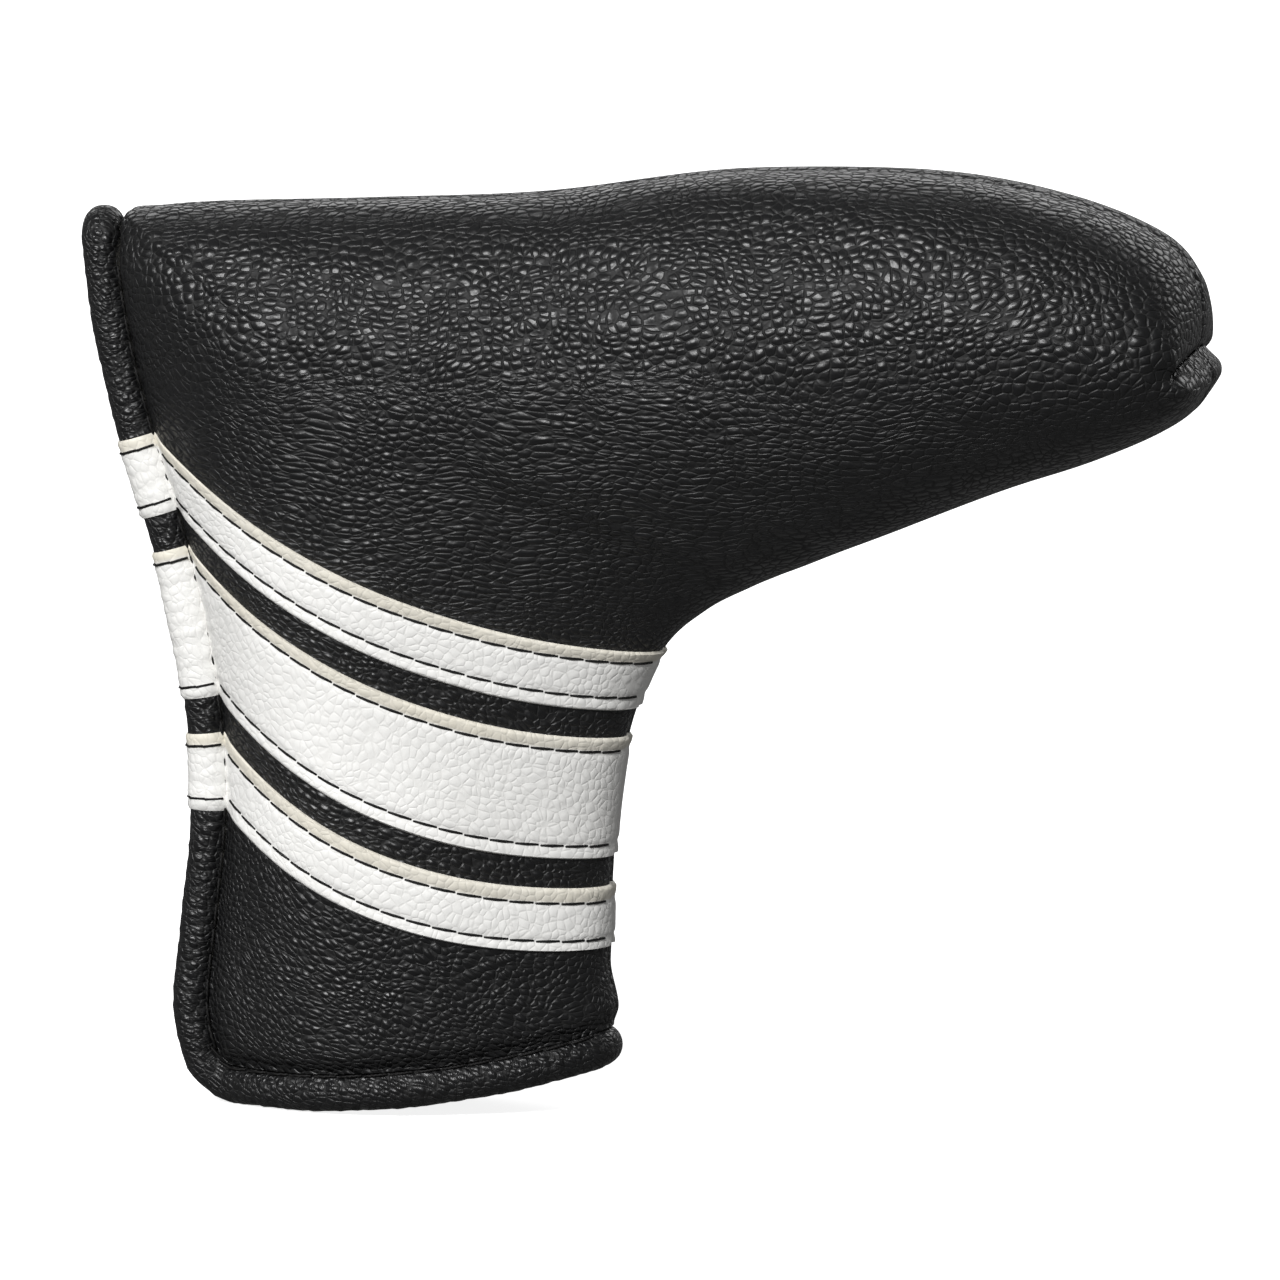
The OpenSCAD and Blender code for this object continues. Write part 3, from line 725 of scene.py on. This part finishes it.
def stripeFace(edges, depth, rounded):
    def place(u, w):
        s = edges[0] + (edges[1] - edges[0]) * w
        fromEdge = np.minimum(w, 1 - w) * (edges[1] - edges[0]) * stripeLook["stationLength"]
        corner = ramp(1 - fromEdge / stripeLook["round"])
        drop = stripeLook["round"] * (1 - np.sqrt(np.maximum(1 - corner**2, 0))) if rounded else 0.0
        dip = stripeDip(s, edges) if rounded else 0.0
        return skin(s, u, depth + drop + dip + sink(s, u))

    return place


# Marks the upper margin of a white piece, above its upper row of stitches
def markMargin(piece, share, rows, columns):
    marks = piece.data.attributes.new("margin", "FLOAT", "POINT")
    count = len(piece.data.vertices)
    w = np.tile(np.repeat(np.linspace(0, 1, rows + 1), columns + 1), 2)[:count]
    marks.data.foreach_set("value", smooth((w - 1 + share) / 0.02).astype(np.float32))


def makeStripe(side, name):
    edges = stripeEdges[name]
    rows = stripeLook["rows"] * (2 if name == "middle" else 1)
    piece = layer(side + "_stripe_" + name + "_band", stripeLook["columns"], rows,
                  stripeFace(edges, -stripeLook["proud"], True),
                  stripeFace(edges, stripeLook["thick"] + stripeLook["under"] - stripeLook["proud"], False),
                  side)
    width = (edges[1] - edges[0]) * stripeLook["stationLength"]
    markMargin(piece, stitch["inset"] / width, rows, stripeLook["columns"])
    nodes = [side + "_stripe_" + name, side + "_flap_stripe_" + name]
    return finishPiece(piece, whiteLeather, nodes)


def stitchModel():
    deselectAll()
    bpy.ops.mesh.primitive_uv_sphere_add(segments=8, ring_count=6, radius=stitch["thick"] / 2 * mm)
    model = bpy.context.object
    half = (stitch["length"] - stitch["thick"]) / 2 * mm
    bpy.ops.object.mode_set(mode="EDIT")
    bpy.ops.mesh.select_all(action="SELECT")
    bpy.ops.transform.rotate(value=math.pi / 2, orient_axis="Y", center_override=(0, 0, 0))
    bpy.ops.object.mode_set(mode="OBJECT")
    for vertex in model.data.vertices:
        reachOut = math.copysign(1, vertex.co.x) if abs(vertex.co.x) > 1e-6 else 0
        vertex.co.x += reachOut * half
        vertex.co.z -= stitch["bite"] * mm * (abs(vertex.co.x) / (half + 1e-9)) ** 4
    return model


def sewn(name, places, side):
    model = stitchModel()
    copies = []
    flipped = 1 if side == "near" else -1
    for i, (centre, along, normal, length) in enumerate(places):
        a = unit(along)
        n = unit(normal - a * np.dot(normal, a))
        b = np.cross(n, a)
        tilt = math.radians(stitch["tilt"])
        a, b = a * math.cos(tilt) + b * math.sin(tilt), b * math.cos(tilt) - a * math.sin(tilt)
        turn = Matrix(np.column_stack([a * length / stitch["length"], b, n]).tolist()).to_4x4()
        turn.translation = Vector((centre * mm).tolist())
        mesh = model.data.copy()
        mesh.transform(turn)
        if flipped < 0:
            mesh.transform(Matrix.Diagonal((1, -1, 1, 1)))
            mesh.flip_normals()
        mesh.shade_smooth()
        copy = bpy.data.objects.new(name, mesh)
        bpy.context.collection.objects.link(copy)
        copies.append(copy)
    bpy.data.objects.remove(model)
    deselectAll()
    for copy in copies:
        copy.select_set(True)
    bpy.context.view_layer.objects.active = copies[0]
    bpy.ops.object.join()
    joined = bpy.context.object
    joined.name = name
    return joined


def stripeStitches():
    places = []
    steps = np.linspace(0, 1, 800)
    inset = stitch["inset"] / stripeLook["stationLength"]
    depth = stitch["sunk"] - stripeLook["proud"]
    for edges in stripeEdges.values():
        for row in (edges[0] + inset, edges[1] - inset):
            total = float(onRuler(fromOuter, row, 1.0)) - stitch["slitMargin"] - stitch["frontMargin"]
            count = int((total + 0.2) / stitch["pitch"])
            lengths = onRuler(fromOuter, np.full(len(steps), row), steps)
            for k in range(count):
                v = float(np.interp(stitch["slitMargin"] + (k + 0.5) * total / count, lengths, steps))
                spots = [skin(row, t, depth + float(sink(row, t))) for t in (v - 0.008, v, v + 0.008)]
                low, centre, high = spots
                places.append((centre, high - low, outward(row, v, depth), total / count * 0.96))
    return places


binding = {
    "out": 2.72,  # half widths of the roll, across the edge and across the lip
    "thick": 2.5,
    "gap": -0.05,
    "bore": 1.85,
    "cord": 1.6,
    "around": 28,
    "step": 0.8,
    "cordSides": 12,
    "cordHollow": 0.3,
    "smoothing": 6,
    "archTurns": (20, 40, 60, 80, 90),  # the arch at the slit's top, in degrees
}
lipMiddle = (wall + cover["lipGap"]) / 2
bindingOut = binding["out"] + binding["gap"]
flapTop = 8.75
mouthStops = [1, 0.96, 0.91, 0.86, 0.8, 0.74, 0.67, 0.6, 0.55, 0.5, 0.45, 0.4, 0.35, 0.3, 0.25, 0.2, 0.1]
slitStops = [0.25, 0.5, 0.75, 1.05] + list(np.linspace(1.35, flapTop, 22)) + [9.0, 9.2]


def edgeMiddle(s, v):
    return (skin(s, v, 0.0) + skin(s, v, wall)) / 2


def slitMiddle(s):
    spot = skin(s, 0.0, 0.0)
    return np.array([spot[0], -lipMiddle, spot[2]])


def bindingStops():
    down = np.array([0.0, 0.0, -1.0])
    points = [edgeMiddle(0.0, v) for v in mouthStops] + [slitMiddle(s) for s in slitStops]
    outs = [down] * len(mouthStops) + [None] * len(slitStops)
    stops = []
    for i, point in enumerate(points):
        before, after = points[max(i - 1, 0)], points[min(i + 1, len(points) - 1)]
        t = np.array([0.0, -1.0, 0.0]) if i == 0 else unit(after - before)
        out = outs[i] if outs[i] is not None else np.cross([0, -1, 0], t)
        o = unit(out - t * np.dot(out, t))
        stops.append((point + o * bindingOut, o, np.cross(t, o)))
    foot = stops[-1]
    upward = np.cross(foot[1], foot[2])
    for angle in binding["archTurns"]:
        c, z = math.cos(math.radians(angle)), math.sin(math.radians(angle))
        t = c * upward + z * np.array([0, 1.0, 0])
        centre = foot[0] + lipMiddle * (np.array([0, 1.0, 0]) * (1 - c) + upward * z)
        stops.append((centre, foot[1], np.cross(foot[1], t) * -1))
    return stops


def smoothRoute(stops, step):
    centres = np.array([q[0] for q in stops])
    outs = np.array([q[1] for q in stops])
    fine, grid = [], np.linspace(0, len(stops) - 1, 4000)
    for t in grid:
        i = min(int(t), len(stops) - 2)
        f = t - i
        a, b = centres[max(i - 1, 0)], centres[i]
        c, d = centres[i + 1], centres[min(i + 2, len(stops) - 1)]
        fine.append(0.5 * (2 * b + (c - a) * f + (2 * a - 5 * b + 4 * c - d) * f**2
                           + (3 * b - a - 3 * c + d) * f**3))
    fine = np.array(fine)
    length = np.concatenate([[0], np.cumsum(np.linalg.norm(np.diff(fine, axis=0), axis=1))])
    count = int(length[-1] / step)
    at = np.interp(np.linspace(0, length[-1], count + 1), length, grid)
    index = np.arange(len(stops))

    def read(table, where):
        return np.stack([np.interp(where, index, table[:, k]) for k in range(3)], 1)

    centre = np.stack([np.interp(at, grid, fine[:, k]) for k in range(3)], 1)
    out = read(outs, at)
    for turn in range(binding["smoothing"]):
        out[1:-1] = (out[:-2] + out[1:-1] * 2 + out[2:]) / 4
    tangent = np.gradient(centre, axis=0)
    tangent[0] = [0, -1, 0]
    tangent[-1] = [0, 1, 0]
    tangent = unit(tangent)
    out = unit(out - tangent * (out * tangent).sum(1, keepdims=True))
    normal = np.cross(tangent, out)
    return {"centre": centre, "out": out, "normal": normal, "stop": at, "length": length[-1]}


bindingRoute = smoothRoute(bindingStops(), binding["step"])
routeCount = len(bindingRoute["centre"]) - 1
print("binding route", round(bindingRoute["length"], 1), "mm")


def readRoute(key, w):
    at = np.asarray(w, float) * routeCount
    table = bindingRoute[key]
    if table.ndim == 1:
        return np.interp(at, np.arange(routeCount + 1), table)
    return np.stack([np.interp(at, np.arange(routeCount + 1), table[:, k]) for k in range(3)], -1)


# The roll's small and slow unevenness, in mm
def wrinkle(angle, w):
    along = w * bindingRoute["length"]
    small = 0.05 * np.sin(along * 1.9 + 2 * np.sin(angle)) * np.sin(along * 0.31 + 1.0)
    return small + 0.04 * np.sin(along * 3.1 + 1.5 * np.cos(angle) + 2.0) + 0.05 * np.sin(along * 0.45 + 0.4)


def rollFace(out, thick, grow=0.0, lively=False, low=0.0, high=360.0, start=0.0, end=1.0):
    def place(u, w):
        angle = np.radians(low + (high - low) * u)
        at = start + (end - start) * w
        extra = grow + (wrinkle(angle, at) * ramp(at * 60) * ramp((1 - at) * 60) if lively else 0.0)
        c, n = (out + extra) * np.cos(angle), (thick + extra) * np.sin(angle)
        across = c[:, None] * readRoute("out", at) + n[:, None] * readRoute("normal", at)
        return readRoute("centre", at) + across

    return place


# Marks how far along the roll and round it each point lies, in mm, for its cross wrinkles
def markWrap(piece):
    count = len(piece.data.vertices)
    flat = np.empty(count * 3)
    piece.data.vertices.foreach_get("co", flat)
    flat = flat.reshape(-1, 3) / mm * np.array([1, 1 if flat[1::3].mean() < 0 else -1, 1])
    step = 4
    marks = np.zeros((count, 3))
    centre = bindingRoute["centre"][::step]
    out, normal = bindingRoute["out"][::step], bindingRoute["normal"][::step]
    for low in range(0, count, 4000):
        part = flat[low:low + 4000]
        gap = ((part[:, None, :] - centre[None]) ** 2).sum(2)
        at = gap.argmin(1)
        away = part - centre[at]
        angle = np.arctan2((away * normal[at]).sum(1), (away * out[at]).sum(1))
        tangent = np.cross(out[at], normal[at])
        along = at * step * binding["step"] + (away * tangent).sum(1)
        marks[low:low + 4000] = np.stack([along, np.cos(angle) * 0.9, np.sin(angle) * 0.9], 1)
    table = piece.data.attributes.new("wrap", "FLOAT_VECTOR", "POINT")
    table.data.foreach_set("vector", marks.astype(np.float32).ravel())


def makeBinding(side):
    piece = layer(side + "_rolled_binding", binding["around"], routeCount,
                  rollFace(binding["out"], binding["thick"], lively=True),
                  rollFace(binding["bore"], binding["bore"]), side, wrap=True)
    markWrap(piece)
    nodes = [side + "_mouth_binding", side + "_edge_binding"] + (["arch_binding"] if side == "near" else [])
    return finishPiece(piece, bindingLeather, nodes)


def makeCord(side):
    hollow = binding["cordHollow"]
    piece = layer(side + "_filler_cord", binding["cordSides"], routeCount // 2,
                  rollFace(binding["cord"], binding["cord"]), rollFace(hollow, hollow), side, wrap=True)
    nodes = [side + "_mouth_cord", side + "_edge_cord"] + (["arch_cord"] if side == "near" else [])
    return finishPiece(piece, cotton, nodes)


insert = {
    "lipSide": -50.0,  # how far it wraps round the roll, in degrees
    "skinSide": 148.0,
    "proud": 0.42,
    "thick": 0.55,
    "edgeDrop": 0.25,
    "edgeWidth": 0.4,
    "columns": 26,
    "threadInset": 1.7,
    "threadTurns": (-34, 14, 62, 110),
    "threadLength": 2.7,
}


def routeShareOf(s):
    stop = len(mouthStops) + float(np.interp(s, slitStops, range(len(slitStops))))
    return float(np.interp(stop, bindingRoute["stop"], np.linspace(0, 1, routeCount + 1)))


def makeInsert(side, name):
    start, end = (routeShareOf(s) for s in stripeEdges[name])
    length = (end - start) * bindingRoute["length"]
    rows = int(length / 0.5)

    def face(grow):
        return rollFace(binding["out"], binding["thick"], grow, True,
                        insert["lipSide"], insert["skinSide"], start, end)

    def outer(u, w):
        drop = insert["edgeDrop"] * ramp(1 - np.minimum(w, 1 - w) * length / insert["edgeWidth"]) ** 2
        angle = np.radians(insert["lipSide"] + (insert["skinSide"] - insert["lipSide"]) * u)
        at = start + (end - start) * w
        pull = drop[:, None] * (np.cos(angle)[:, None] * readRoute("out", at)
                                + np.sin(angle)[:, None] * readRoute("normal", at))
        return face(insert["proud"])(u, w) - pull

    piece = layer(side + "_binding_insert_" + name, insert["columns"], rows, outer,
                  face(insert["proud"] - insert["thick"]), side)
    markMargin(piece, insert["threadInset"] / length, rows, insert["columns"])
    return finishPiece(piece, whiteLeather, [side + "_insert_" + name])


def insertStitches():
    places = []
    inset = insert["threadInset"] / bindingRoute["length"]
    grow = insert["proud"] - 0.02
    for edges in stripeEdges.values():
        start, end = (routeShareOf(s) for s in edges)
        for at in (start + inset, end - inset):
            out, normal, centre = (readRoute(key, np.array([at]))[0] for key in ("out", "normal", "centre"))
            for angle in insert["threadTurns"]:
                c, z = math.cos(math.radians(angle)), math.sin(math.radians(angle))
                spot = centre + (binding["out"] + grow) * c * out + (binding["thick"] + grow) * z * normal
                along = -(binding["out"] + grow) * z * out + (binding["thick"] + grow) * c * normal
                places.append((spot, along, c * out + z * normal, insert["threadLength"]))
    return places


groove = {
    "from": 0.02,  # where the row of stitches starts and ends along the binding
    "to": 0.965,
    "inward": 0.3,
    "raised": 1.62,
}


def grooveStitches():
    places = []
    count = int(bindingRoute["length"] / stitch["pitch"])
    for k in range(count):
        at = np.array([(k + 0.5) / count])
        if not groove["from"] <= at[0] <= groove["to"]:
            continue
        out, normal, centre = (readRoute(key, at)[0] for key in ("out", "normal", "centre"))
        spot = centre - out * (bindingOut - groove["inward"]) + normal * groove["raised"]
        places.append((spot, np.cross(out, normal), normal, stitch["pitch"] * 0.95))
    return places


# The tape that the magnets are sewn to, in mm, stations and shares of the way across
tape = {"thick": 0.3, "top": 4.02, "reach": 0.36, "columns": 16, "rows": 44}


def makeTapeStrip(side):
    def face(depth):
        return lambda u, w: skin(w * tape["top"], u * tape["reach"], depth)

    piece = layer(side + "_magnet_tape_strip", tape["columns"], tape["rows"],
                  face(foamAt), face(foamAt + tape["thick"]), side)
    return finishPiece(piece, wovenTape, [side + "_magnet_tape"], bodyOf[side])


for side in ("near", "far"):
    makeLeather(side)
    makePadding(side)
    makeLining(side)
    for stripeName in stripeEdges:
        makeStripe(side, stripeName)
        makeInsert(side, stripeName)
    makeBinding(side)
    makeCord(side)
    threads = [
        ("_stripe_stitching", stripeStitches(), ["_stripe_thread", "_flap_thread"]),
        ("_seam_stitching", grooveStitches(), ["_mouth_thread", "_edge_thread"]),
        ("_insert_stitching", insertStitches(), []),
    ]
    for ending, places, nodes in threads:
        row = sewn(side + ending, places, side)
        finishPiece(row, blackThread, [side + node for node in nodes])
    makeTapeStrip(side)
    for level in ("lower", "upper"):
        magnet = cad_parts[side + "_magnet_" + level]
        for k in range(max(len(magnet.material_slots), 1)):
            if not magnet.material_slots:
                magnet.data.materials.append(nickelPlate)
            magnet.material_slots[k].material = nickelPlate
print("pieces made")


studio = {
    "floor": (0.92, 0.92, 0.92, 1),
    "floorSize": 40,
    "world": 0.17,
    "floorGlow": 0.86,
    "cameraTurn": 10.0,
    "cameraRise": 8.0,
    "distance": 3.0,
    "lens": 601.7,
    "aimRight": 0.03366,
    "aimUp": 0.0628,
    "lightTarget": (0.035, 0, 0.07),
}
# Each light's place, size and power
lights = {
    "keyLight": ((-0.3, -1.05, 0.86), (0.8, 0.16), 25),
    "backLight": ((0.1, 1.3, 0.6), (2.0, 0.5), 7),
    "frontFill": ((0.5, -1.7, 0.4), (1.6, 0.8), 0.6),
}


def makeFloor():
    low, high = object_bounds()
    deselectAll()
    bpy.ops.mesh.primitive_plane_add(size=studio["floorSize"], location=(0, 0, low.z))
    floor = bpy.context.object
    floor.name = "studioFloor"
    finish = Finish("paleFloor", {"Roughness": 0.9})
    finish.feed({"Base Color": studio["floor"], "Emission Color": (1, 1, 1, 1)})
    finish.feed({"Emission Strength": studio["floorGlow"]})
    floor.visible_glossy = False
    floor.visible_diffuse = False
    floor.data.materials.append(finish.material)


def makeLight():
    for name, (place, size, power) in lights.items():
        data = bpy.data.lights.new(name, "AREA")
        data.shape = "RECTANGLE"
        data.size, data.size_y = size
        data.energy = power
        light = bpy.data.objects.new(name, data)
        bpy.context.collection.objects.link(light)
        light.location = place
        light.rotation_mode = "QUATERNION"
        light.rotation_quaternion = (Vector(studio["lightTarget"]) - Vector(place)).to_track_quat("-Z", "Y")
    world = bpy.data.worlds.new("studioWorld")
    world.use_nodes = True
    world.node_tree.nodes["Background"].inputs["Color"].default_value = (1, 1, 1, 1)
    world.node_tree.nodes["Background"].inputs["Strength"].default_value = studio["world"]
    bpy.context.scene.world = world


def makeCamera():
    turn, rise = math.radians(studio["cameraTurn"]), math.radians(studio["cameraRise"])
    right = Vector((math.cos(turn), math.sin(turn), 0))
    ahead = Vector((-math.sin(turn) * math.cos(rise), math.cos(turn) * math.cos(rise), -math.sin(rise)))
    up = right.cross(ahead)
    target = right * studio["aimRight"] + up * studio["aimUp"]
    data = bpy.data.cameras.new("studioCamera")
    data.lens = studio["lens"]
    data.sensor_width = 36
    camera = bpy.data.objects.new("studioCamera", data)
    bpy.context.collection.objects.link(camera)
    camera.location = target - ahead * studio["distance"]
    camera.rotation_mode = "QUATERNION"
    camera.rotation_quaternion = ahead.to_track_quat("-Z", "Y")
    data.clip_start = 0.01
    data.clip_end = 20
    bpy.context.scene.camera = camera


makeFloor()
makeLight()
makeCamera()
bpy.context.scene.view_settings.view_transform = "Standard"
print("stage set")
